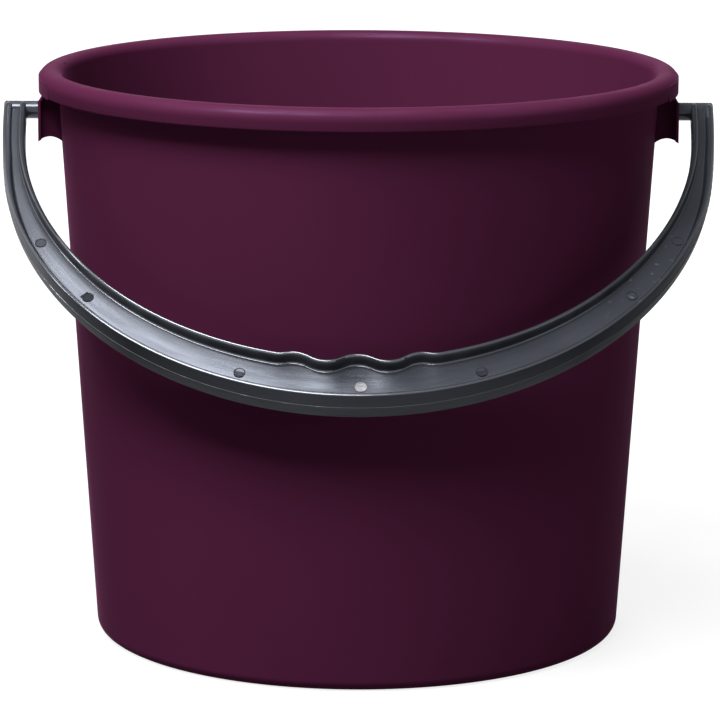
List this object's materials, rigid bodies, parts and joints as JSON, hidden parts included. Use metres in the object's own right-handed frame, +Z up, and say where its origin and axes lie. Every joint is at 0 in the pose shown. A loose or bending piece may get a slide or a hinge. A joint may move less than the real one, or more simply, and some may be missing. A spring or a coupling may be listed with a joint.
{
  "type": "bucket",
  "caption": "Tapered round household bucket in moulded plastic, with a rolled rim, moulded ears and a swinging I-section bail that has a finger grip.",
  "frame": {"origin": "middle of the foot ring, on the floor", "axes": "+Z up along the tub's axis, +X towards one ear along the bail's pivot line, -Y towards the side on which the bail hangs"},
  "size_m": [0.3112, 0.2921, 0.251],
  "materials": {
    "tub_plastic": "satin dark plum polypropylene",
    "bail_plastic": "satin charcoal polypropylene"
  },
  "bodies": {
    "tub": {"tub": "tub_plastic"},
    "bail": {"bail": "bail_plastic"}
  },
  "joints": [
    {"name": "bail_swing", "type": "hinge", "parent": "tub", "child": "bail", "pos_m": [0, 0, 0.23145], "axis": [-1, 0, 0], "range_deg": [0, 248.4]}
  ]
}
